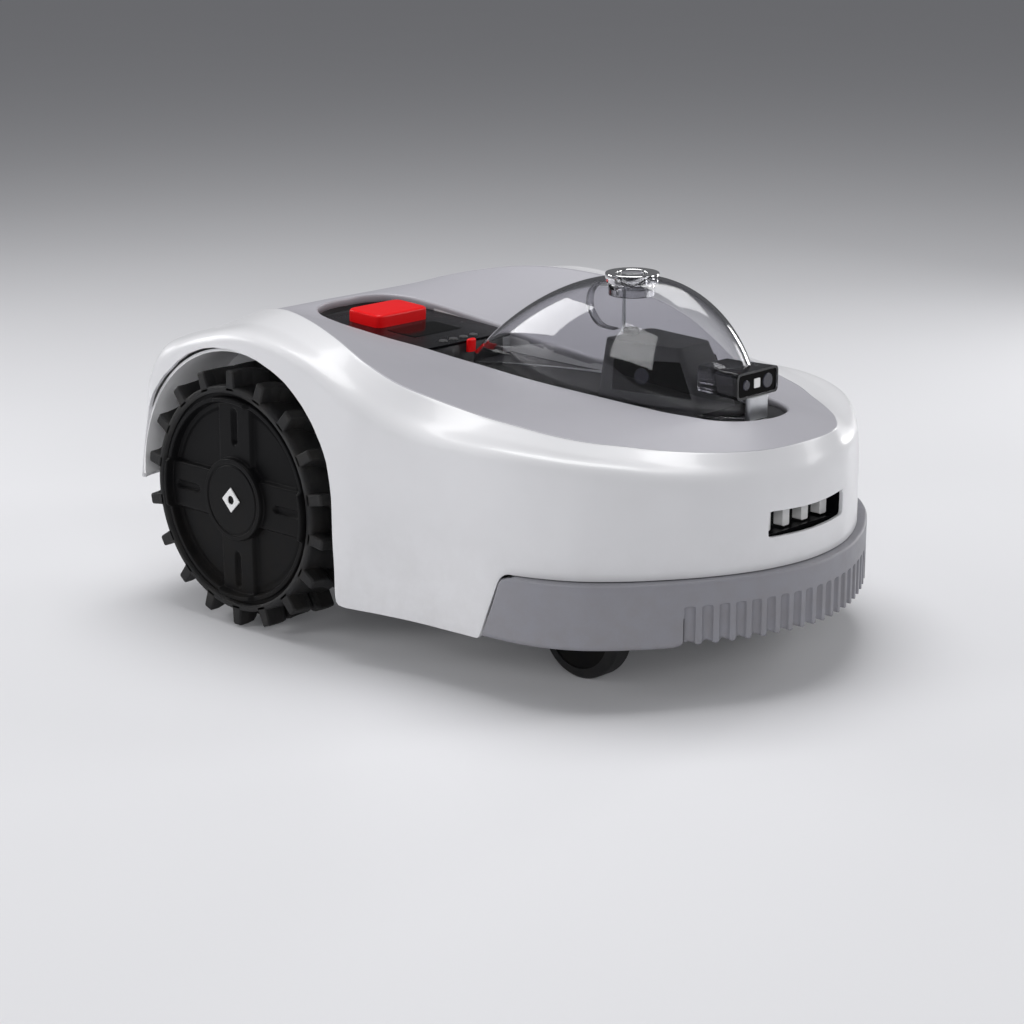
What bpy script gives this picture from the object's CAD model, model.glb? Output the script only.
# %% [markdown]
# # A robotic lawn mower
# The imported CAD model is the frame: every part already sits where it belongs, in metres, with the
# ground at height 0 and the nose towards -Y. The mouldings get smooth surfaces and every part gets
# a finish. Parts whose CAD shape is already right are kept and only given a material.

import bmesh
import bpy
import numpy as np
from mathutils import Euler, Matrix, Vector


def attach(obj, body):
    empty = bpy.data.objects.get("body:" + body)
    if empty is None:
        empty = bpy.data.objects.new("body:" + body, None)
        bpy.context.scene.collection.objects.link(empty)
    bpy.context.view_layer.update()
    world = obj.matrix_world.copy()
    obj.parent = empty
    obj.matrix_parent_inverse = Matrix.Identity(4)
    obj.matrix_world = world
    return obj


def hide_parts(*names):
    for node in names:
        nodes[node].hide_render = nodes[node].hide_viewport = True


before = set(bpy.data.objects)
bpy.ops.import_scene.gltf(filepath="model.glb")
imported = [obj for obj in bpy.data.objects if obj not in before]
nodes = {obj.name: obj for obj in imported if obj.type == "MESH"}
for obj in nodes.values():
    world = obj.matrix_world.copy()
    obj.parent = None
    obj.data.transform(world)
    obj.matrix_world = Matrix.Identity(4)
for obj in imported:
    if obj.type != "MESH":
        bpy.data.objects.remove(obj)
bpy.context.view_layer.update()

MM = 0.001
print("CAD parts:", len(nodes))

# %% [markdown]
# ## Camera
# The mower is seen from its front left corner, a little above the deck, through a long lens from
# about two metres away. A long lens keeps the nose from looking swollen.

# %% Camera
CAMERA_PITCH = 15.6  # degrees below the horizon
camera_data = bpy.data.cameras.new("camera")
camera_data.lens = 90.17
camera_data.sensor_width = 36.0
camera_data.shift_y = 0.003
camera_data.clip_end = 50.0
camera = bpy.data.objects.new("camera", camera_data)
camera.location = (-1.6242, -1.4782, 0.6988)
camera.rotation_euler = Euler((np.radians(90 - CAMERA_PITCH), 0, -np.arctan2(0.731, 0.682)))
bpy.context.scene.collection.objects.link(camera)
bpy.context.scene.camera = camera

# %% [markdown]
# ## Surfaces from arrays
# Each new piece is a grid of points: a function of two parameters worked out with numpy for all
# points at once. A small helper turns the grid into a mesh of four-sided faces. It also turns the
# faces outwards, by comparing each face's normal with the line from a point inside the piece.

# %% Grid to mesh
def piece(name, points, faces, finish, inside=None, body="body", slot=None, replaces=()):
    """Make a mesh object that rides on a body. If inside is given, the faces are all turned round
    when the sum of normal . (face centre - inside) comes out negative."""
    points, faces = np.asarray(points, float).reshape(-1, 3), np.asarray(faces, int).reshape(-1, 4)
    if inside is not None:
        corners = points[faces]
        normal = np.cross(corners[:, 2] - corners[:, 0], corners[:, 3] - corners[:, 1])
        if np.sum(normal * (corners.mean(axis=1) - np.asarray(inside))) < 0:
            faces = faces[:, ::-1]
    mesh = bpy.data.meshes.new(name)
    mesh.from_pydata(points.tolist(), [], faces.tolist())
    mesh.polygons.foreach_set("use_smooth", np.ones(len(faces), bool))
    made = bpy.data.objects.new(name, mesh)
    bpy.context.scene.collection.objects.link(made)
    made.data.materials.append(finish)
    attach(made, body)
    if replaces:
        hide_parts(*replaces)
    print(name, len(points), "points")
    return made


def cells(rows, columns, round_rows=False, round_columns=False):
    """Faces of a grid, as an array [row, column, corner] of point numbers."""
    i, j = np.meshgrid(np.arange(rows - (not round_rows)), np.arange(columns - (not round_columns)),
                       indexing="ij")
    i2, j2 = (i + 1) % rows, (j + 1) % columns
    return np.stack([i * columns + j, i2 * columns + j, i2 * columns + j2, i * columns + j2], axis=-1)


def weld(made, distance=2e-5):
    """Join the points that lie together, so that seams and poles are closed."""
    mesh = bmesh.new()
    mesh.from_mesh(made.data)
    bmesh.ops.remove_doubles(mesh, verts=mesh.verts, dist=distance)
    bmesh.ops.dissolve_degenerate(mesh, edges=mesh.edges, dist=distance / 10)
    mesh.to_mesh(made.data)
    mesh.free()
    return made


def thicken(made, wall, bevel=0.0):
    """Give a skin its wall, inwards, and ease the edges of the wall."""
    solidify = made.modifiers.new("wall", "SOLIDIFY")
    solidify.thickness, solidify.offset = wall, -1.0
    if bevel:
        rounded = made.modifiers.new("edge", "BEVEL")
        rounded.width, rounded.segments, rounded.limit_method = bevel, 2, "ANGLE"
        rounded.angle_limit = np.radians(50)
    return made


# %% [markdown]
# ## Shader arithmetic
# A finish is a Principled shader whose colour, roughness and bump follow patterns. To keep the
# patterns readable, a socket is wrapped in a small class, so that an ordinary expression such as
# 1 - mask adds its own Math nodes. Any other node comes from one method.

# %% Finish
class Value:
    """A number that comes out of a node; arithmetic on it adds Math nodes."""

    def __init__(self, finish, socket):
        self.finish, self.socket = finish, socket

    def maths(self, operation, *values):
        return self.finish.node("Math", {"operation": operation}, dict(enumerate(values)))

    def __add__(self, other): return self.maths("ADD", self, other)
    def __radd__(self, other): return self.maths("ADD", other, self)
    def __sub__(self, other): return self.maths("SUBTRACT", self, other)
    def __rsub__(self, other): return self.maths("SUBTRACT", other, self)
    def __mul__(self, other): return self.maths("MULTIPLY", self, other)
    def __rmul__(self, other): return self.maths("MULTIPLY", other, self)
    def __truediv__(self, other): return self.maths("DIVIDE", self, other)
    def __pow__(self, other): return self.maths("POWER", self, other)


class Finish:
    """A material under construction: one Principled shader, and the nodes that feed it."""

    def __init__(self, name, colour, roughness, **uniform):
        self.material = bpy.data.materials.new(name)
        self.material.use_nodes = True
        self.tree = self.material.node_tree
        self.shader = self.tree.nodes["Principled BSDF"]
        self.set("Base Color", colour)
        self.set("Roughness", roughness)
        for key, value in uniform.items():
            self.set(key.replace("_", " "), value)

    def join(self, value, socket):
        """Feed a socket with another socket or with a plain value."""
        if isinstance(value, Value):
            self.tree.links.new(value.socket, socket)
        elif isinstance(value, tuple) and len(value) == 3 and socket.type == "RGBA":
            socket.default_value = (*value, 1.0)
        else:
            socket.default_value = value

    def set(self, key, value):
        self.join(value, self.shader.inputs[key])

    def node(self, kind, settings=None, inputs=None, output=0):
        """Add a node: its type, its settings, then the values or links of its sockets."""
        made = self.tree.nodes.new("ShaderNode" + kind)
        for key, value in (settings or {}).items():
            if key == "stops":
                ramp = made.color_ramp.elements
                while len(ramp) < len(value):
                    ramp.new(0.5)
                for stop, (place, colour) in zip(ramp, value):
                    stop.position, stop.color = place, (*colour, 1.0)
            else:
                setattr(made, key, value)
        for key, value in (inputs or {}).items():
            self.join(value, made.inputs[key])
        return Value(self, made.outputs[output])

    def place(self):
        """Object coordinates, in metres."""
        return self.node("TexCoord", output="Object")

    def noise(self, per_metre, detail=2.0, roughness=0.5, stretch=None):
        """Cloudy pattern from 0 to 1, with a number of features to the metre."""
        spot = self.place()
        if stretch:
            spot = self.node("Mapping", inputs={"Vector": spot, "Scale": stretch})
        return self.node("TexNoise", inputs={"Vector": spot, "Scale": per_metre, "Detail": detail,
                                             "Roughness": roughness})

    def ramp(self, value, low, high, start=0.0, end=1.0):
        """A number that goes from start to end while value goes from low to high."""
        return self.node("MapRange", inputs={"Value": value, "From Min": low, "From Max": high,
                                             "To Min": start, "To Max": end})

    def mix(self, share, a, b):
        """Colour a share of the way from a to b."""
        return self.node("Mix", {"data_type": "RGBA"}, {0: share, 6: a, 7: b}, output=2)

    def along(self, axis):
        """Distance along X, Y or Z (0, 1 or 2), in metres."""
        return self.node("SeparateXYZ", inputs={0: self.place()}, output=axis)

    def height(self):
        """Height above the ground, in metres."""
        return self.along(2)

    def bump(self, relief, depth, strength=1.0):
        """Relief of a depth in metres, on the shader's normal."""
        self.set("Normal", self.node("Bump", inputs={"Height": relief, "Distance": depth,
                                                     "Strength": strength}))
        return self


# %% [markdown]
# ## Moulded plastics
# The hood is white plastic with a satin gloss. Real mouldings are never one flat colour: the
# surface has a fine orange peel, the gloss changes a little where it has been handled, and dust
# gathers low down near the grass. Each of these is a weak pattern on top of a plain colour.

# %% Moulded plastic
def moulded(name, colour, roughness, grain=900.0, grain_depth=0.00002, dust=0.12, peel=0.0003, **uniform):
    """Plastic from a mould: base colour with faint clouds, dust low down, fine grain and orange peel."""
    made = Finish(name, colour, roughness, **uniform)
    clouds = made.noise(9.0, 3.0)
    specks = made.noise(grain, 3.0, 0.6)
    low = made.ramp(made.height(), 0.16, 0.03) * made.ramp(made.noise(60.0, 4.0, 0.65), 0.35, 0.75)
    darker = tuple(0.93 * c for c in colour)
    body = made.mix(made.ramp(clouds, 0.3, 0.7), colour, darker)
    made.set("Base Color", made.mix(low * dust, body, (0.20, 0.17, 0.13)))
    made.set("Roughness", roughness + made.ramp(clouds, 0.3, 0.7, -0.03, 0.05) + specks * 0.06 + low * 0.2)
    made.bump(specks * (grain_depth / peel) + made.noise(140.0, 2.0) * 0.08, peel)
    return made.material


HOOD = moulded("hood_white", (0.74, 0.74, 0.76), 0.30, Coat_Weight=0.25, Coat_Roughness=0.12)
DECK = moulded("deck_grey", (0.40, 0.395, 0.43), 0.36, grain=1400.0)
BUMPER = moulded("bumper_grey", (0.265, 0.265, 0.295), 0.42, grain=1100.0, grain_depth=0.00004, dust=0.3)
LINER = moulded("liner_white", (0.86, 0.86, 0.87), 0.45, dust=0.2)
CHASSIS = moulded("chassis_black", (0.022, 0.022, 0.024), 0.55, grain=700.0, grain_depth=0.00008,
                  dust=0.35)
WHEEL = moulded("wheel_black", (0.004, 0.004, 0.0045), 0.40, grain=1200.0, dust=0.04,
               Specular_IOR_Level=0.12)
TOWER = moulded("tower_grey", (0.045, 0.045, 0.049), 0.55, grain=1500.0, grain_depth=0.00009, dust=0.0)
PANEL = moulded("panel_black", (0.004, 0.004, 0.005), 0.22, dust=0.0, Specular_IOR_Level=0.12)
WINDOW = moulded("window_black", (0.0015, 0.0015, 0.0015), 0.08, dust=0.0, Specular_IOR_Level=0.03)
RED = moulded("stop_red", (0.74, 0.006, 0.008), 0.32, dust=0.0, Specular_IOR_Level=0.2)
BADGE = moulded("emblem_white", (0.80, 0.80, 0.80), 0.4, dust=0.05)
LAMP = moulded("lamp_white", (0.85, 0.85, 0.85), 0.35, dust=0.0)
KEY = moulded("key_grey", (0.05, 0.05, 0.052), 0.25, dust=0.0, Specular_IOR_Level=0.4)
BATTERY = moulded("battery_case", (0.04, 0.05, 0.07), 0.5, dust=0.1)
SEAL = moulded("seal_rubber", (0.015, 0.015, 0.015), 0.7, grain=600.0, dust=0.1)
BOARD = moulded("board_green", (0.02, 0.10, 0.04), 0.35, dust=0.0)
DISC = moulded("disc_black", (0.03, 0.03, 0.032), 0.4, dust=0.6)

# %% [markdown]
# The tray of the cockpit is white at its walls and black on its floor, as a two-shot moulding is:
# the colour changes where the floor meets the wall, a little above the floor's height. The black
# also climbs the short ramp between the tip of the dome and the panel.

# %% Two-shot tray
tray = Finish("tray_white", (0.70, 0.70, 0.71), 0.38)
tray_side = tray.ramp(tray.along(0).maths("ABSOLUTE", tray.along(0)), 0.046, 0.0465)
tray_ahead = tray.ramp(tray.along(1), 0.0705, 0.07, 0.0, 1.0)
tray_wall = tray.ramp(tray.height(), 0.2128, 0.2136) * (tray_side + tray_ahead)
tray_grain = tray.noise(900.0, 3.0, 0.6)
tray.set("Base Color", tray.mix(tray.ramp(tray_wall, 0.0, 1.0), (0.02, 0.02, 0.022), (0.62, 0.62, 0.63)))
tray.set("Roughness", 0.34 + tray_grain * 0.1)
tray.bump(tray_grain, 0.00003)
TRAY = tray.material

# %% [markdown]
# ## Rubber, metals and clear plastic
# Tread rubber is dark and matte with pale dust in its pores. Brushed steel is grained along one
# direction. The dome is clear plastic that looks darker where the eye grazes it, because the light
# then crosses more of it: a facing-angle mix of two tints gives that.

# %% Rubber, metals, clear plastic
def rubber(name, colour, dust):
    """Tread rubber: fine pores, a grey bloom, and dried soil in patches."""
    made = Finish(name, colour, 0.7)
    pores = made.noise(1500.0, 2.0, 0.7)
    soil = made.ramp(made.noise(45.0, 5.0, 0.7), 0.45, 0.75) * dust
    bloom = made.mix(made.ramp(made.noise(12.0, 2.0), 0.3, 0.7), colour, tuple(1.6 * c for c in colour))
    made.set("Base Color", made.mix(soil, bloom, (0.10, 0.085, 0.065)))
    made.set("Roughness", 0.58 + pores * 0.15 + soil * 0.2)
    made.bump(pores * 0.4 + made.noise(90.0, 3.0), 0.0003)
    return made.material


def metal(name, colour, roughness, stretch=(1, 1, 1), depth=0.00002):
    """Metal with a brushed or sintered grain, stretched along one direction, and faint tarnish."""
    made = Finish(name, colour, roughness, Metallic=1.0)
    grain = made.noise(900.0, 2.0, 0.7, stretch)
    tarnish = made.ramp(made.noise(30.0, 4.0, 0.6), 0.4, 0.8)
    made.set("Base Color", made.mix(tarnish * 0.5, colour, tuple(0.6 * c for c in colour)))
    made.set("Roughness", roughness + grain * 0.15 + tarnish * 0.12)
    made.bump(grain, depth)
    return made.material


def clear(name, facing, grazing, roughness=0.02, through=1.0):
    """Clear plastic: tinted by how squarely it is looked at, with faint smears in its gloss."""
    made = Finish(name, facing, roughness, Transmission_Weight=through, IOR=1.45)
    edge = made.node("LayerWeight", inputs={"Blend": 0.35}, output="Facing")
    made.set("Base Color", made.mix(made.ramp(edge, 0.35, 0.8), facing, grazing))
    made.set("Roughness", roughness + made.ramp(made.noise(25.0, 3.0), 0.5, 0.9, 0.0, 0.03))
    return made.material


TREAD = rubber("tyre_rubber", (0.008, 0.008, 0.0085), 0.12)
STEEL = metal("steel", (0.55, 0.56, 0.58), 0.25, (1, 1, 0.05))
ALU = metal("gear_alu", (0.50, 0.51, 0.53), 0.4, depth=0.0001)
BRASS = metal("contact_brass", (0.75, 0.52, 0.25), 0.2)
BUSH = metal("bronze_bush", (0.60, 0.42, 0.22), 0.35)
DOME = clear("dome_clear", (0.86, 0.86, 0.88), (0.01, 0.01, 0.012))
RING = clear("ring_clear", (0.55, 0.55, 0.57), (0.03, 0.03, 0.033), 0.04)
CASE = clear("case_smoke", (0.05, 0.05, 0.055), (0.01, 0.01, 0.011), 0.05)
LENS = clear("lens_glass", (0.05, 0.05, 0.07), (0.01, 0.01, 0.02), 0.03, 0.3)

# %% [markdown]
# ## The shell as a net
# Hood and deck are one flowing shape. It is given by sections, each a few points from the foot of
# the wall, over the crease of the shoulder, to the edge of the cockpit. A centripetal Catmull-Rom
# curve goes through every point without swinging wide, first up each section and then round the
# mower, so the same net gives a surface as fine as wanted.

# %% Sections of the shell
LENGTH, WIDTH, LEDGE = 609.0, 455.0, 9.0
FRONT, REAR, SIDE, HUMP = -LENGTH / 2, LENGTH / 2, WIDTH / 2, 271.0
NOSE = FRONT + LEDGE
FOOT_Z, FENDER_Z, TAIL_LEAN = 48.0, 108.0, 22.0
# foot of the wall (x, y), crease (x, y, z), edge of the deck (x, y, z), edge of the cockpit (x, y, z)
SECTIONS = np.array([
    (0, NOSE, 0, NOSE + 3, 181, 0, NOSE + 9, 202, 0, -254, 217),
    (50, NOSE + 7, 52, NOSE + 11, 183, 48, NOSE + 16, 202, 27, -246, 217),
    (92, NOSE + 24, 92, NOSE + 29, 186, 82, NOSE + 40, 202, 42, -228, 217),
    (126, NOSE + 45, 124, NOSE + 50, 190, 106, NOSE + 68, 203, 49, -206, 218),
    (156, NOSE + 69, 152, NOSE + 74, 195, 124, NOSE + 96, 205, 51, -180, 218),
    (181, NOSE + 97, 176, NOSE + 101, 199, 140, NOSE + 121, 207, 52, -150, 219),
    (198, NOSE + 131, 192, NOSE + 133, 202, 151, NOSE + 150, 210, 52, -118, 220),
    (207, NOSE + 165, 201, NOSE + 165, 203, 159, NOSE + 178, 214, 52, -84, 221),
    (210, -92, 206, -92, 202, 168, -85, 219, 51, -48, 222),
    (213, -52, 210, -50, 203, 182, -47, 229, 51, -12, 224),
    (219, -14, 214, -12, 212, 193, -14, 239, 52, 22, 227),
    (SIDE - 2, 18, 220, 22, 228, 194, 22, 251, 54, 56, 230),
    (SIDE, 60, 223, 62, 247, 186, 62, 263, 57, 92, 234),
    (SIDE, 110, 223, 110, 258, 172, 108, HUMP - 1, 60, 128, 237),
    (SIDE, 160, 222, 158, 259, 154, 158, HUMP, 61, 162, 240),
    (SIDE - 1, 205, 220, 202, 250, 136, 200, HUMP - 6, 61, 194, 243),
    (SIDE - 3, 250, 214, 238, 240, 118, 234, HUMP - 14, 57, 222, 246),
    (SIDE - 6, 285, 206, 262, 234, 98, 255, 250, 44, 240, 248),
    (SIDE - 22, REAR - 4, 178, 277, 233, 70, 266, 247, 24, 248, 249),
    (120, REAR - 1, 98, 281, 234, 36, 270, 246, 10, 250, 249),
    (0, REAR, 0, 282, 235, 0, 271, 246, 0, 250, 249),
], float)
FOOT, CREASE, EDGE, INNER = SECTIONS[:, 0:2], SECTIONS[:, 2:5], SECTIONS[:, 5:8], SECTIONS[:, 8:11]


def curve(points, places):
    """Centripetal Catmull-Rom curve along the first axis of points. Place k + s is the point a
    share s of the way from points[k + 1] to points[k + 2]; the first and last points only steer."""
    points = np.asarray(points, float)
    chord = np.maximum(np.linalg.norm(np.diff(points, axis=0), axis=-1), 1e-6) ** 0.5
    knot = np.concatenate([np.zeros_like(chord[:1]), np.cumsum(chord, axis=0)])
    k = np.clip(np.floor(places).astype(int), 0, len(points) - 4)
    share = (places - k).reshape((-1,) + (1,) * (points.ndim - 2))
    t, p = [knot[k + i] for i in range(4)], [points[k + i] for i in range(4)]
    at = t[1] + (t[2] - t[1]) * share

    def between(a, b, low, high):
        part = ((at - low) / (high - low))[..., None]
        return a * (1 - part) + b * part

    first = [between(p[i], p[i + 1], t[i], t[i + 1]) for i in range(3)]
    second = [between(first[i], first[i + 1], t[i], t[i + 2]) for i in range(2)]
    return between(second[0], second[1], t[1], t[2])


def wall_points():
    """Points of every section from foot to deck edge: four up the wall, which leans forward at the
    tail, then the crease, the middle of the shoulder and the edge of the deck."""
    top = CREASE[:, 2] - 12
    rise = np.array([0.0, 0.35, 0.7, 0.92])[:, None]
    z = FOOT_Z + (top - FOOT_Z) * rise
    x = FOOT[:, 0] * (1 - 0.0001 * (z - FOOT_Z))
    share = np.maximum(0, (FOOT[:, 1] - 200) / (REAR - 200))
    y = FOOT[:, 1] - TAIL_LEAN * share * np.maximum(0, z - FENDER_Z) / 120
    return np.concatenate([np.stack([x, y, z], axis=-1), [CREASE, (CREASE + EDGE) / 2, EDGE]])


def deck_points():
    """Points of every section from the deck's outer edge to the cockpit."""
    return np.stack([EDGE + (INNER - EDGE) * share for share in (0.0, 0.3, 0.65, 1.0)])


def net(rows, around, across):
    """Surface over the half x >= 0, as points [round, across]. rows are [point, section, xyz]."""
    rows = np.concatenate([[2 * rows[0] - rows[1]], rows, [2 * rows[-1] - rows[-2]]])
    sections = curve(rows, across).transpose(1, 0, 2)
    flip = np.array([-1.0, 1, 1])
    return curve(np.concatenate([[sections[1] * flip], sections, [sections[-2] * flip]]), around)


# %% [markdown]
# ## Where the hood ends
# The lower edge of the hood runs over the bumper, down its sloping end, along the foot, up round
# the wheel and down to the fender. It is one height for each distance along the mower. Every
# section of the net is then spread between that height and the deck, so that the faces follow the
# edge and it comes out smooth, which cutting a finished mesh would not give.

# %% Lower edge
WHEEL_Y, WHEEL_Z = 158.5, 115.0
EDGE_LINE = np.array([
    (-400, 106), (-147.3, 106), (-144.6, 105.3), (-142.3, 104), (-140, 101.8), (-137.9, 98), (-135.8, 92),
    (-121.4, 51), (-119.5, 48.3), (-116, 48), (20, 48), (25, 49), (27.5, 51.5), (28.8, 57), (29.5, 79),
    (31.5, 104),
    (32.8, 139), (36.5, 164), (43.5, 181), (55.5, 199.5), (66.5, 212), (78.5, 222), (90, 230),
    (103.5, 236.5), (121.5, 243), (140, 247), (158.5, 248), (178, 246.5), (195, 243), (215, 235.5),
    (232, 225.5), (250, 211), (265, 193), (277, 175), (286, 150), (290.5, 124), (292.5, 112),
    (296, 108.4), (302, 108), (400, 108)], float)


def spread(points, low_z, shares):
    """Spread each section of a fine net between the height low_z(y) and its end. The height is
    looked up three times, because the tail leans and the cut moves along it."""
    y = points[:, 0, 1]
    for _ in range(3):
        low = low_z(y)
        k = np.clip((points[:, :, 2] < low[:, None]).sum(axis=1) - 1, 0, points.shape[1] - 2)
        row = np.arange(len(points))
        a, b = points[row, k], points[row, k + 1]
        start = k + np.clip((low - a[:, 2]) / (b[:, 2] - a[:, 2]), 0, 1)
        y = a[:, 1] + (b[:, 1] - a[:, 1]) * (start - k)
    at = start[:, None] + (points.shape[1] - 1 - start[:, None]) * shares
    k = np.minimum(at.astype(int), points.shape[1] - 2)
    part = (at - k)[..., None]
    row = row[:, None]
    return points[row, k] * (1 - part) + points[row, k + 1] * part


# %% [markdown]
# ## Window in the nose
# The range sensors look out through a low rounded window. The net gets rows and columns exactly
# where its sides are, the faces inside are left out, and the points near each corner are pulled
# on to a quarter circle: inside a corner's square of side r, a point at (a, b) moves to
# (a, b) max(a, b) / hypot(a, b), fading out over a few millimetres.

# %% Hood
SLOT_HALF, SLOT_MID, SLOT_TALL, SLOT_R, SLOT_FADE = 50.0, 141.5, 10.5, 4.0, 6.0


def around_places():
    """Places round the half shell: even, with more where the lower edge or the window turns."""
    even = np.linspace(0, 20, 241)
    fine = np.linspace(0, 20, 8001)
    line = net(wall_points(), fine, np.array([1.0]))[:, 0]
    side = fine > 3
    turns = np.interp(np.concatenate([np.arange(-156, -137, 1.5), np.arange(-123, -116, 1.0),
                                      np.arange(24, 34, 0.5), np.arange(285, 300, 1.5)]),
                      line[side, 1], fine[side])
    window = np.interp([SLOT_HALF - 4, SLOT_HALF - 2.7, SLOT_HALF - 1.3, SLOT_HALF, SLOT_HALF + 1.5],
                       line[~side, 0], fine[~side])
    return np.unique(np.concatenate([even, turns, window])), window[3]


places, window_place = around_places()
fine_wall = net(wall_points(), places, np.linspace(0, 6, 241))
nose_z = spread(fine_wall[:1], lambda y: np.interp(y, *EDGE_LINE.T), np.linspace(0, 1, 2001))[0, :, 2]
window_rows = np.interp([SLOT_MID - SLOT_TALL, SLOT_MID - SLOT_TALL + 1.3, SLOT_MID - SLOT_TALL + 2.7,
                         SLOT_MID - SLOT_TALL + 4, SLOT_MID + SLOT_TALL - 4, SLOT_MID + SLOT_TALL - 2.7,
                         SLOT_MID + SLOT_TALL - 1.3, SLOT_MID + SLOT_TALL], nose_z,
                        np.linspace(0, 1, 2001))
shares = np.unique(np.concatenate([np.linspace(0, 1, 37), window_rows]))
hood_half = spread(fine_wall, lambda y: np.interp(y, *EDGE_LINE.T), shares)


def round_window(points):
    """Pull the points near the window's corners on to quarter circles."""
    a = points[..., 0] - (SLOT_HALF - SLOT_R)
    up = points[..., 2] - SLOT_MID
    b = np.abs(up) - (SLOT_TALL - SLOT_R)
    reach = np.maximum(np.maximum(a, b), 1e-6)
    near = (a > 0) & (b > 0) & (reach < SLOT_R + SLOT_FADE) & (points[..., 1] < NOSE + 20)
    fade = np.clip(1 - np.abs(reach - SLOT_R) / SLOT_FADE, 0, 1)
    scale = np.where(near, 1 - (1 - reach / np.maximum(np.hypot(a, b), 1e-6)) * fade, 1.0)
    moved = points.copy()
    moved[..., 0] += np.where(near, a * (scale - 1), 0)
    moved[..., 2] += np.where(near, np.sign(up) * b * (scale - 1), 0)
    return moved


hood_half = round_window(hood_half)


def both_halves(half):
    """A half grid and its mirror image as one grid that closes on itself round the mower."""
    other = half[-2:0:-1] * np.array([-1.0, 1, 1])
    return np.concatenate([half, other])


hood_grid = both_halves(hood_half)
hood_cells = cells(*hood_grid.shape[:2], round_rows=True)
open_column = np.flatnonzero(places < window_place - 1e-9)
mirror_column = len(hood_grid) - 1 - open_column
low_row, high_row = np.searchsorted(shares, [window_rows[0] - 1e-9, window_rows[-1] - 1e-9])
open_cell = np.zeros(hood_cells.shape[:2], bool)
open_cell[np.ix_(np.concatenate([open_column, mirror_column]), np.arange(low_row, high_row))] = True
hood = piece("hood_skin", hood_grid * MM, hood_cells[~open_cell], HOOD, inside=(0, 0, 0.12),
             slot="hood_white", replaces=["hood_shell"])
thicken(hood, 3 * MM, 0.6 * MM)

# %% [markdown]
# ## Deck
# The grey deck fills the space between the hood's shoulder and the cockpit. Its inner edge rolls
# over and down into the cockpit, as a moulded rim does, which hides the cut edge of the skin.

# %% Deck
ROLL_R, ROLL_DROP = 2.5, 5.0


def deck_grid(around, across):
    """The deck's net, then a quarter circle of radius ROLL_R and a straight drop at its inner edge."""
    flat = net(deck_points(), around, np.linspace(0.012, 3, across))
    inwards = flat[:, -1] - flat[:, -2]
    inwards[:, 2] = 0
    inwards /= np.maximum(np.linalg.norm(inwards, axis=1, keepdims=True), 1e-9)
    drawn_back = np.linspace(0, 1, across)[None, :, None] ** 2 * ROLL_R
    flat = flat - inwards[:, None] * drawn_back
    turn = np.radians(np.linspace(15, 90, 6))
    out, down = np.append(np.sin(turn), 1.0) * ROLL_R, np.append(1 - np.cos(turn), 1.0) * ROLL_R
    down[-1] += ROLL_DROP
    rolled = flat[:, -1:] + inwards[:, None] * out[:, None] - np.array([0, 0, 1.0]) * down[:, None]
    return np.concatenate([flat, rolled], axis=1)


deck_surface = both_halves(deck_grid(np.linspace(0, 20, 301), 44))
deck = piece("deck_skin", deck_surface * MM, cells(*deck_surface.shape[:2], round_rows=True), DECK,
             inside=(0, 0, -5), slot="deck_grey", replaces=["deck_panel"])
thicken(deck, 2.5 * MM)

# %% [markdown]
# ## Bumper
# The bumper is a grey band round the nose. Its face rises to a small rounded edge, and a pale
# ledge runs from there back under the hood. Its ends slope forward and round over at the top. In
# the middle the face is fluted: upright round grooves that stop below the edge, so that grass is
# combed and not pushed. It is one grid: along the plan curve by up the face, with the ledge as
# extra rows and the returns of the ends as extra columns. A groove is a depth taken off the face,
# sqrt(r^2 - d^2) - r + depth at a distance d from its middle.

# %% Bumper
BUMPER_LOW, BUMPER_HIGH, END_Y, END_SLOPE = 51.5, 105.0, -125.0, 0.35
EDGE_R, COMB_TOP, COMB_PITCH, TEETH = 2.5, 85.0, 13.1, 18
COMB_HALF, SLIT_X, SLIT_HALF, SLIT_DEEP = COMB_PITCH * (TEETH / 2 + 0.3), 121.6, 1.0, 7.0
PLAN = np.array([(0, 0), (50, 8), (93, 25.5), (129, 46.5), (161.5, 71), (188, 100), (204, 135),
                 (210, END_Y - FRONT), (211, END_Y - FRONT + 30)]) + [0, FRONT]


def plan_curve():
    """Fine points of the bumper's plan, their distance along it, and their inward normals."""
    ghost = np.concatenate([[PLAN[1] * [-1, 1]], PLAN, [2 * PLAN[-1] - PLAN[-2]]])
    line = curve(ghost, np.linspace(0, len(PLAN) - 1, 4001))
    run = np.append(0, np.cumsum(np.linalg.norm(np.diff(line, axis=0), axis=1)))
    along = np.gradient(line, axis=0)
    normal = np.stack([-along[:, 1], along[:, 0]], axis=1)
    return line, run, normal / np.linalg.norm(normal, axis=1, keepdims=True)


def groove_depth(x, z):
    """Depth of the comb's grooves, and of a narrow slit past each end of the comb."""
    radius, deep = 4.2, 3.9
    off = np.abs(x / COMB_PITCH - np.round(x / COMB_PITCH)) * COMB_PITCH
    groove = np.maximum(np.sqrt(np.maximum(radius ** 2 - off ** 2, 0)) - radius + deep, 0)
    groove = np.where(np.abs(x) < COMB_HALF, groove, 0)
    slit = np.where((np.abs(np.abs(x) - SLIT_X) < SLIT_HALF) & (z < COMB_TOP - 11), SLIT_DEEP, 0)
    arch = np.sqrt(np.maximum(1 - (np.minimum(off, radius) / radius) ** 2, 0)) * 2.0
    return np.where(z < COMB_TOP - 2.0 + arch, groove, 0) + slit


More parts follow.
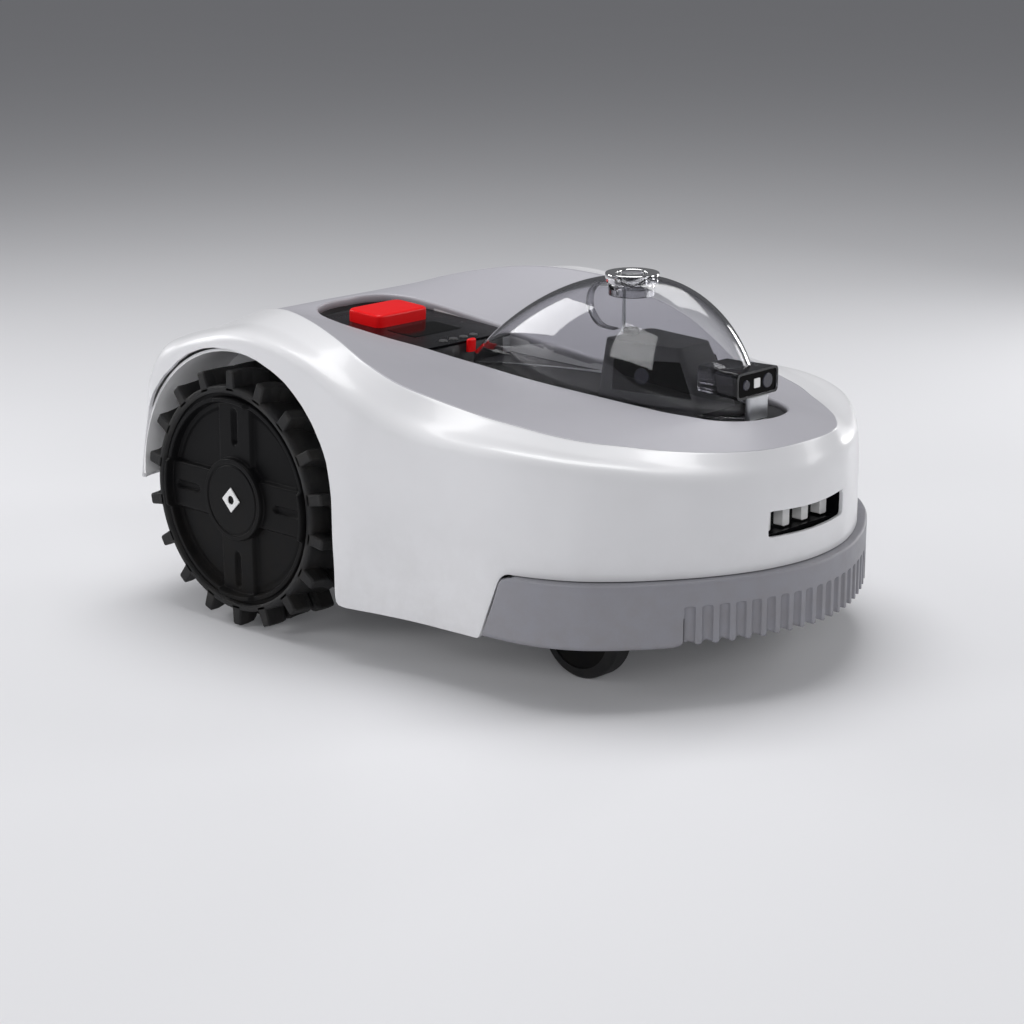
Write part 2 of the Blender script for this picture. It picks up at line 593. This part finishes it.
line, run, normal = plan_curve()
COMB_RUN = np.interp(124.0, line[:, 0], run)
end_run = np.interp(END_Y, line[:, 1], run)
edge_turn = np.radians([0, 22.5, 45, 67.5, 90])
advance = np.concatenate([np.zeros(1), EDGE_R * np.sin(edge_turn[1:]), [EDGE_R, EDGE_R]])
depth_in = np.concatenate([np.zeros(1), EDGE_R * (1 - np.cos(edge_turn[1:])), [9.0, 17.0]])
face_z = np.unique(np.concatenate([np.linspace(0, 1, 15), np.linspace(0.52, 0.68, 14)]))
comb_s = np.linspace(0, COMB_RUN, 401)
run_share = np.concatenate([comb_s, COMB_RUN + (end_run - COMB_RUN) * np.linspace(0, 1, 71)[1:]])
columns, rows = len(run_share) + len(advance) - 1, len(face_z) + len(advance) - 1
step_i = np.minimum(np.arange(columns), len(run_share) - 1)
step_j = np.minimum(np.arange(rows), len(face_z) - 1)
over_i = np.maximum(np.arange(columns) - len(run_share) + 1, 0)[:, None]
over_j = np.maximum(np.arange(rows) - len(face_z) + 1, 0)[None, :]
s0 = run_share[step_i][:, None]
x0 = np.interp(s0, run, line[:, 0])
# the lower edge is higher along the comb, and each tooth comes to a point there
notch = np.where(np.abs(x0) < COMB_HALF, 1 - np.abs((x0 / COMB_PITCH) % 1 - 0.5) * 2, 0)
low = BUMPER_LOW + 3.5 * (1 - np.clip((np.abs(x0) - 122.6) / 6, 0, 1) ** 0.5) - 2.6 * notch + 0.6
face_top = BUMPER_HIGH - EDGE_R
z = low + (face_top - low) * face_z[step_j][None, :] + advance[over_j]
corner = 7.0
rounding = corner - np.sqrt(np.maximum(corner ** 2 - np.clip(z - (BUMPER_HIGH - corner), 0, corner) ** 2, 0))
near_end = np.clip((s0 - COMB_RUN) / (end_run - COMB_RUN), 0, 1) ** 1.5
shift = (END_SLOPE * (z - BUMPER_LOW) + rounding + EDGE_R) * near_end
s = s0 - shift + advance[over_i]
taper = np.clip((z - BUMPER_LOW) / 30, 0.05, 1)
inset = np.maximum(depth_in[over_j] * np.ones_like(z), depth_in[over_i] * taper)
x_here = np.interp(s, run, line[:, 0])
inset = inset + groove_depth(x_here, z) * (inset < 0.01)
bumper_half = np.stack([x_here + np.interp(s, run, normal[:, 0]) * inset,
                        np.interp(s, run, line[:, 1]) + np.interp(s, run, normal[:, 1]) * inset,
                        z + 0.03 * np.maximum(inset - EDGE_R, 0) * (over_j > 0)], axis=-1)
bumper_grid = np.concatenate([bumper_half[:0:-1] * [-1.0, 1, 1], bumper_half])
bumper_cells = cells(*bumper_grid.shape[:2])
edge_column = np.minimum(np.arange(len(bumper_grid) - 1), np.arange(len(bumper_grid) - 1)[::-1])
both_over = (edge_column[:, None] < len(advance) - 1) & (np.arange(rows - 1)[None, :] >= len(face_z) - 1)
bumper = piece("bumper_skin", bumper_grid * MM, bumper_cells[~both_over], BUMPER,
               inside=(0, -0.05, 0.05), body="bumper", slot="bumper_grey", replaces=["bumper_shell"])
weld(bumper)
thicken(bumper, 2.2 * MM)

# %% [markdown]
# ## Dome
# The dome is an egg of clear plastic, blunt in front and drawn out to a point behind. Across, each
# section is half an ellipse with half-width w(y) and height h(y); along, the point moves as the
# sine of an angle, which crowds the sections at the two ends where the shape turns fastest.

# %% Dome
DOME_FRONT, DOME_REAR, DOME_WIDE = -232.0, 84.0, -122.0
DOME_HALF, DOME_BASE, DOME_TOP = 47.0, 213.0, 316.0


def egg(y):
    """Half-width and height of the dome over its foot, at a distance along the mower."""
    front = np.sqrt(np.maximum(0, 1 - ((y - DOME_WIDE) / (DOME_WIDE - DOME_FRONT)) ** 2))
    behind = np.maximum(0, 1 - ((y - DOME_WIDE) / (DOME_REAR - DOME_WIDE)) ** 2)
    drawn = np.maximum(0, 1 - ((y - DOME_WIDE) / (DOME_REAR - DOME_WIDE + 8)) ** 2)
    ahead = y < DOME_WIDE
    return (DOME_HALF * np.where(ahead, front, behind ** 0.75),
            (DOME_TOP - DOME_BASE) * np.where(ahead, front, drawn))


turn = np.radians(np.linspace(-89, 89, 131))[:, None]
reach = np.where(turn < 0, DOME_WIDE - DOME_FRONT, DOME_REAR - DOME_WIDE)
dome_y = DOME_WIDE + (reach - 0.8) * np.sin(turn)
half, tall = egg(dome_y)
swing = np.radians(np.linspace(0, 180, 91))[None, :]
dome_grid = np.stack([half * np.cos(swing), dome_y + 0 * swing, DOME_BASE + tall * np.sin(swing)], axis=-1)
case_half = 27.0 - 6.0 * (dome_grid[..., 1] + 236.0) / 46.0
in_case = ((dome_grid[..., 1] < -189.5) & (np.abs(dome_grid[..., 0]) < case_half)
           & (np.abs(dome_grid[..., 2] - 242) < 11.3))
dome_cells = cells(*dome_grid.shape[:2])
hidden = in_case[:-1, :-1] & in_case[1:, :-1] & in_case[:-1, 1:] & in_case[1:, 1:]
dome = piece("dome_skin", dome_grid * MM, dome_cells[~hidden], DOME, inside=(0, -0.1, 0.2),
             slot="dome_clear", replaces=["dome"])
thicken(dome, 2.2 * MM)

# %% [markdown]
# ## Rings and straps
# Rings, rods and rolled rims are a profile carried round an axis or along a path. A ring's point
# is centre + r(a) (cos t, sin t) at height z(a), where r and z trace the closed profile.

# %% Rings
def rounded_profile(low_r, high_r, low_z, high_z, ease, steps=4):
    """Closed rectangle (r, z) with corners eased to quarter circles, counter-clockwise."""
    a = np.radians(np.linspace(0, 90, steps))
    corners = [(high_r - ease, high_z - ease, 0), (low_r + ease, high_z - ease, 90),
               (low_r + ease, low_z + ease, 180), (high_r - ease, low_z + ease, 270)]
    return np.concatenate([np.stack([r + ease * np.cos(a + np.radians(t)),
                                     z + ease * np.sin(a + np.radians(t))], axis=1) for r, z, t in corners])


def ring(name, centre, axis, profile, finish, steps=96, closed=True, **rest):
    """Turn an (r, along) profile about an axis, 'X' or 'Z', through a centre."""
    t = np.radians(np.arange(steps) * 360 / steps)[:, None]
    r, along = profile[:, 0][None, :], profile[:, 1][None, :] + 0 * t
    flat = {"Z": (r * np.cos(t), r * np.sin(t), along), "X": (along, r * np.cos(t), r * np.sin(t))}[axis]
    grid = np.stack(flat, axis=-1) + np.asarray(centre)
    corner = cells(steps, len(profile), True, closed).reshape(-1, 4)
    loop = np.roll(profile, -1, axis=0)
    area = np.sum(profile[:, 0] * loop[:, 1] - loop[:, 0] * profile[:, 1])
    if (area < 0) != (axis == "Z"):
        corner = corner[:, ::-1]
    return piece(name, grid * MM, corner, finish, **rest)

cap_profile = rounded_profile(13.0, 23.0, DOME_TOP - 8, DOME_TOP + 0.8, 1.4)
CAP_Y = -101.0
ring("dome_cap_ring", (0, CAP_Y, 0), "Z", cap_profile, RING, slot="cap_clear", replaces=["dome_cap"])
ring("dome_cap_collar", (0, CAP_Y, 0), "Z", rounded_profile(17.0, 19.5, DOME_TOP - 19, DOME_TOP - 8.4, 0.8),
     RING, slot="cap_clear")
ring("rod_knob_rim", (0, CAP_Y, 0), "Z", rounded_profile(4.0, 6.8, 264.1, 269, 0.9), TOWER)

# %% [markdown]
# A clear strap runs inside the dome, from the crown down to the tower behind the rod: a thin flat
# profile carried along a bent path.

# %% Strap
def carried(name, path, profile, up, finish, **rest):
    """Carry a closed (side, up) profile along a path; the side is across the path and up."""
    path, profile = np.asarray(path, float), np.asarray(profile, float)
    along = np.gradient(path, axis=0)
    along /= np.linalg.norm(along, axis=1, keepdims=True)
    side = np.cross(along, np.asarray(up, float))
    side /= np.linalg.norm(side, axis=1, keepdims=True)
    top = np.cross(side, along)
    grid = path[:, None] + side[:, None] * profile[None, :, :1] + top[:, None] * profile[None, :, 1:]
    middle = grid.mean(axis=1, keepdims=True)
    grid = np.concatenate([np.repeat(middle[:1], grid.shape[1], axis=1), grid,
                           np.repeat(middle[-1:], grid.shape[1], axis=1)])
    corner = cells(len(grid), len(profile), False, True)
    made = piece(name, grid * MM, corner, finish, **rest)
    mesh = bmesh.new()
    mesh.from_mesh(made.data)
    bmesh.ops.remove_doubles(mesh, verts=mesh.verts, dist=1e-6)
    bmesh.ops.recalc_face_normals(mesh, faces=mesh.faces)
    mesh.to_mesh(made.data)
    mesh.free()
    return made


def flat_profile(width, thick, ease, steps=3):
    """Closed rectangle about the origin with eased corners."""
    return rounded_profile(-width / 2, width / 2, -thick / 2, thick / 2, ease, steps)


strap_places = np.linspace(0, 4, 51)
strap_route = curve([(0, -90, 308), (0, -78, 307), (0, -58, 297), (0, -55, 282), (0, -66, 268),
                     (0, -84, 265.5), (0, -100, 265.5)], strap_places)
carried("dome_strap", strap_route, flat_profile(1.0, 9.0, 0.4), (1, 0.001, 0), RING, slot="cap_clear")

# %% [markdown]
# ## Stop button, keys and screen
# The red stop button is a pillow: a rounded rectangle whose top swells a little and rolls over at
# the rim. Its plan is a superellipse |x/a|^n + |y/b|^n = 1, shrunk towards the middle as a quarter
# circle lifts it to the top. The keys, the screen and the red sensor at the dome's tip are smaller
# pillows with other exponents n.

# %% Stop button, keys and screen
TILT = np.radians(2.9)
PANEL_UP = np.array([0, -np.sin(TILT), np.cos(TILT)])
PANEL_BACK = np.array([0, np.cos(TILT), np.sin(TILT)])
PANEL_AT = np.array([0, 130.0, 233.0])


def on_panel(x, back, up):
    """Points given across, back and up from the panel's middle, in the mower's frame."""
    return PANEL_AT + np.stack([x, back * PANEL_BACK[1] + up * PANEL_UP[1],
                                back * PANEL_BACK[2] + up * PANEL_UP[2]], axis=-1)


def pillow(name, middle, half_size, low, high, roll, crown, power, finish, **rest):
    """Superellipse block on the panel from low to high, with a rolled rim and a crowned top."""
    t = np.linspace(0, 2 * np.pi, 121)[:-1][None, :]
    rim_x = np.sign(np.cos(t)) * np.abs(np.cos(t)) ** (2 / power)
    rim_y = np.sign(np.sin(t)) * np.abs(np.sin(t)) ** (2 / power)
    a = np.radians(np.linspace(0, 90, 9))
    shrink = np.concatenate([[0.0, 0.0], roll * (1 - np.cos(a[1:]))])[:, None]
    up = np.concatenate([[low, high - roll], high - roll + roll * np.sin(a[1:])])[:, None]
    inner = np.linspace(1, 0, 9)[1:, None]
    size_x, size_y = half_size[0] - shrink, half_size[1] - shrink
    size_x = np.concatenate([size_x, size_x[-1] * inner])
    size_y = np.concatenate([size_y, size_y[-1] * inner])
    up = np.concatenate([up, high + crown * (1 - inner ** 2)])
    grid = on_panel(middle[0] + size_x * rim_x, middle[1] + size_y * rim_y, up + 0 * t)
    inside = on_panel(np.array(middle[0]), np.array(middle[1]), np.array((low + high) / 2))
    made = piece(name, grid * MM, cells(*grid.shape[:2], False, True), finish, inside=inside * MM,
                 **rest)
    return weld(made, 1e-6)


pillow("stop_pillow", (0, 64.0), (32.5, 21.0), -6.0, 11.6, 2.6, 0.4, 9.0, RED, body="stop_button",
       slot="stop_red", replaces=["stop_button"])
for number in range(4):
    pillow(f"key_pad_{number + 1}", (13.0 * (number - 1.5), -27.0), (4.0, 4.0), -3.0, 0.9, 0.7, 0.3, 2.0,
           KEY, body=f"key_{number + 1}", slot="key_grey", replaces=[f"key_{number + 1}"])
pillow("screen_glass", (0, 16.0), (30.9, 17.9), -0.8, 0.25, 0.2, 0.0, 14.0, WINDOW, slot="screen_black",
       replaces=["display_glass"])
pillow("tip_sensor", (0, -43.0), (5.0, 2.4), -9.0, 2.6, 1.6, 0.5, 3.0, RED, slot="stop_red",
       replaces=["rain_sensor"])

# %% [markdown]
# ## Wheels
# Each drive wheel has a black cap: a dish with a lip, four broad spokes, a slot in each spoke and
# a round boss. The cap is a height above the dish for each radius and angle, made of soft steps:
# step(d) rises from 0 to 1 as the distance d into a feature goes from nothing to its wall width.

# %% Wheel caps
def step(d, wall):
    """Soft step: 0 outside, 1 inside, with a wall of a given width between."""
    k = np.clip(d / wall + 0.5, 0, 1)
    return k * k * (3 - 2 * k)


def cap_height(r, t):
    """Height of the cap over its dish, in millimetres."""
    quarter = (t + np.pi / 4) % (np.pi / 2) - np.pi / 4
    along, across_it = r * np.cos(quarter), r * np.abs(np.sin(quarter))
    spoke = step(21.0 - across_it, 3.0) * step(90 - r, 2.0)
    slot_reach = np.hypot(np.maximum(np.abs(along - 64) - 12, 0), across_it)
    slot_cut = step(3.2 - slot_reach, 1.4)
    boss = step(37 - r, 2.5)
    face = 4.2 * spoke * (1 - 0.0025 * np.maximum(r - 40, 0)) - 3.0 * slot_cut * (1 - boss)
    lip = 7.0 * step(r - 85.5, 2.5) * step(90.6 - r, 1.2)
    ring_line = -0.7 * step(1.0 - np.abs(r - 81), 0.8)
    boss_line = -0.8 * step(0.9 - np.abs(r - 31), 0.7)
    return np.maximum(face, boss * 9.2) + lip + ring_line * (1 - spoke) + boss_line


CAP_EDGE = 90.6
radii = np.unique(np.concatenate([np.linspace(0.0, CAP_EDGE, 62), np.linspace(83.5, CAP_EDGE, 16),
                                  np.linspace(29, 39, 18)]))
cap_r, cap_t = np.meshgrid(radii, np.radians(np.arange(480) * 0.75), indexing="ij")
DISH_X = 216.0
for side, name in ((-1, "left"), (1, "right")):
    cap_x = DISH_X + cap_height(cap_r, cap_t)
    grid = np.stack([side * cap_x, WHEEL_Y + cap_r * np.cos(cap_t), WHEEL_Z + cap_r * np.sin(cap_t)], axis=-1)
    made = piece(f"cap_face_{name}", grid * MM, cells(*grid.shape[:2], False, True), WHEEL,
                 inside=(0, WHEEL_Y * MM, WHEEL_Z * MM), body=f"wheel_{name}", slot="wheel_black",
                 replaces=[f"wheel_cap_{name}"])
    weld(made, 1e-6)

# %% [markdown]
# ## Tread
# The tyre's carcass is a profile turned about the axle, with eased shoulders. The lugs are thick
# bars in two rows, out of step, each bent like an elbow: it leaves the side wall straight across
# and then slants towards the middle. A lug is a rounded bar section carried along a bent path,
# worked out for all lugs of a wheel at once and wrapped on to the wheel.

# %% Tyres
CARCASS_R, TREAD_R, LUGS = 100.0, 115.0, 18


def lug_grid(side, row):
    """All lugs of one row, as [lug, station, corner, xyz]: stations run along the lug."""
    path = np.array([(224.0, 0.0), (222.6, 0.0), (214.0, 0.4), (205.0, 3.0), (197.0, 8.5),
                     (193.0, 11.5), (192.0, 12.3)])
    if row:
        path = path * [-1, -1] + [386.0, 0.0]
    wide = np.array([4.2, 5.2, 5.4, 5.6, 5.4, 4.6, 3.6])
    tall = np.array([12.6, 14.0, 14.0, 14.0, 13.6, 12.4, 10.5])
    base_w, base_h, top_w, ease = wide + 1.6, -4.0, wide - 0.6, 1.0
    offsets = np.stack([base_w, wide + 0.4, top_w, top_w - ease,
                        -top_w + ease, -top_w, -wide - 0.4, -base_w], axis=1)
    heights = np.stack([base_h + 0 * tall, 0 * tall + 1.0, tall - ease, tall,
                        tall, tall - ease, 0 * tall + 1.0, base_h + 0 * tall], axis=1)
    turn = np.radians((np.arange(LUGS) + row / 2) * 360 / LUGS)[:, None, None]
    arc = (path[:, 1][:, None] + offsets)[None] / (CARCASS_R + 7)
    radius = np.minimum((CARCASS_R + heights)[None] / np.cos(offsets[None] / TREAD_R * 0.2), TREAD_R - 0.6)
    angle = turn + arc * side
    x = side * (path[:, 0][None, :, None] + 0 * angle)
    return np.stack([x, WHEEL_Y + radius * np.sin(angle), WHEEL_Z + radius * np.cos(angle)], axis=-1)


tyre_profile = np.array([(93.9, -31), (98.2, -31), (99.6, -30), (100, -27), (100.4, -12), (99.4, -10.5),
                         (99.4, 10.5), (100.4, 12), (100, 27), (99.6, 30), (98.2, 31), (93.9, 31)])
for side, name in ((-1, "left"), (1, "right")):
    ring(f"carcass_{name}", (side * 193.0, WHEEL_Y, WHEEL_Z), "X", tyre_profile, TREAD, steps=160,
         body=f"wheel_{name}", slot="tyre_rubber", replaces=[f"tyre_{name}"])
    grid = np.concatenate([lug_grid(side, 0), lug_grid(side, 1)])
    lugs, stations, corners = grid.shape[:3]
    one = cells(stations, corners, False, True).reshape(-1, 4)
    ends = np.array([[0, 1, 6, 7], [1, 2, 5, 6], [2, 3, 4, 5]])
    one = np.concatenate([one, ends[:, ::-1], ends + (stations - 1) * corners])
    all_faces = one[None] + (np.arange(lugs) * stations * corners)[:, None, None]
    tread = piece(f"lugs_{name}", grid * MM, all_faces, TREAD, body=f"wheel_{name}", slot="tyre_rubber")
    mesh = bmesh.new()
    mesh.from_mesh(tread.data)
    bmesh.ops.recalc_face_normals(mesh, faces=mesh.faces)
    mesh.to_mesh(tread.data)
    mesh.free()
    tread.data.polygons.foreach_set("use_smooth", np.zeros(len(tread.data.polygons), bool))
    rounded = tread.modifiers.new("edge", "BEVEL")
    rounded.width, rounded.segments, rounded.angle_limit = 0.5 * MM, 2, np.radians(35)

# %% [markdown]
# ## Casters and small parts
# The front wheels are plain rounded tyres on hubs, carried by bent steel rods. Their CAD shapes
# are right, and so are those of the small parts, so they only get a finish.

# %% Finishes for the CAD parts
FINISHES = {
    "cockpit_tray": TRAY, "control_panel": PANEL, "chassis_tub": CHASSIS, "stop_switch": CHASSIS,
    "sensor_tower": TOWER, "dome_seal": SEAL, "antenna_rod": STEEL, "camera_case": CASE,
    "camera_face": WINDOW, "camera_lamp": LAMP, "camera_post": STEEL, "slot_liner": PANEL,
    "range_sensors": LAMP, "battery_pack": BATTERY, "circuit_board": BOARD, "charge_contacts": BRASS,
    "caster_bushes": BUSH, "cutter_motor": ALU, "cutting_disc": DISC, "blade_screws": STEEL,
    "blade_1": STEEL, "blade_2": STEEL, "blade_3": STEEL,
}
for name in ("left", "right"):
    FINISHES |= {f"tower_window_{name}": WINDOW, f"side_camera_{name}": LENS, f"camera_lens_{name}": LENS,
                 f"arch_liner_{name}": LINER, f"drive_gearbox_{name}": ALU, f"wheel_rim_{name}": WHEEL,
                 f"wheel_emblem_{name}": BADGE, f"caster_arm_{name}": STEEL, f"caster_hub_{name}": WHEEL,
                 f"caster_tyre_{name}": TREAD}
for name, finish in FINISHES.items():
    node = nodes[name]
    node.data.materials.clear()
    node.data.materials.append(finish)
plain = [name for name, node in nodes.items() if name not in FINISHES and not node.hide_render]
print("CAD parts with a finish:", len(FINISHES), "left plain:", plain)

# %% [markdown]
# ## Studio
# A plain pale floor and a soft studio: a wide softbox overhead and two at the left light the
# mouldings, and smaller ones behind, at the right and in front draw bright strips on the dome. The
# two at the left are kept out of reflections, so that black plastic stays black. A dim sky keeps
# the shadows open.

# %% Floor and lights
def softbox(name, place, aim, size, power, mirrored=True):
    """Area light at a place, turned to face a point, and seen in reflections or not."""
    light = bpy.data.lights.new(name, "AREA")
    light.shape, light.size, light.size_y = "RECTANGLE", size[0], size[1]
    light.energy = power
    lamp = bpy.data.objects.new(name, light)
    lamp.location = place
    lamp.visible_glossy = mirrored
    lamp.rotation_euler = (Vector(aim) - Vector(place)).to_track_quat("-Z", "Y").to_euler()
    bpy.context.scene.collection.objects.link(lamp)


softbox("overhead", (0.2, 0.3, 2.3), (0, 0, 0.1), (1.6, 1.6), 40)
softbox("front_right", (1.6, -1.3, 0.9), (0, 0, 0.2), (0.5, 1.2), 12)
softbox("front_left", (-2.0, -2.4, 1.3), (0, 0, 0.15), (1.6, 1.0), 31, False)
softbox("left_rear", (-2.2, 1.2, 0.9), (-0.1, 0.1, 0.15), (1.0, 0.9), 18, False)
softbox("rear", (-0.6, 1.8, 0.9), (0, 0, 0.25), (0.9, 0.7), 9)
softbox("right", (1.7, -0.1, 0.5), (0, -0.1, 0.25), (0.25, 0.7), 5)

bpy.context.scene.view_settings.view_transform = "Standard"
world = bpy.data.worlds.new("studio")
bpy.context.scene.world = world
world.use_nodes = True
world.node_tree.nodes["Background"].inputs["Color"].default_value = (0.75, 0.76, 0.80, 1)
world.node_tree.nodes["Background"].inputs["Strength"].default_value = 0.17

floor_finish = Finish("floor", (0.70, 0.70, 0.72), 0.5, Emission_Color=(0.75, 0.76, 0.80),
                      Emission_Strength=0.05)
floor_finish.set("Roughness", 0.45 + floor_finish.noise(3.0, 2.0) * 0.1)
across = np.linspace(-9, 9, 41)
floor_x, floor_y = np.meshgrid(across, across, indexing="ij")
floor_mesh = bpy.data.meshes.new("floor")
floor_points = np.stack([floor_x, floor_y, 0 * floor_x - 0.0005], axis=-1).reshape(-1, 3)
floor_mesh.from_pydata(floor_points.tolist(), [], cells(41, 41).reshape(-1, 4)[:, ::-1].tolist())
floor = bpy.data.objects.new("floor", floor_mesh)
bpy.context.scene.collection.objects.link(floor)
floor.data.materials.append(floor_finish.material)
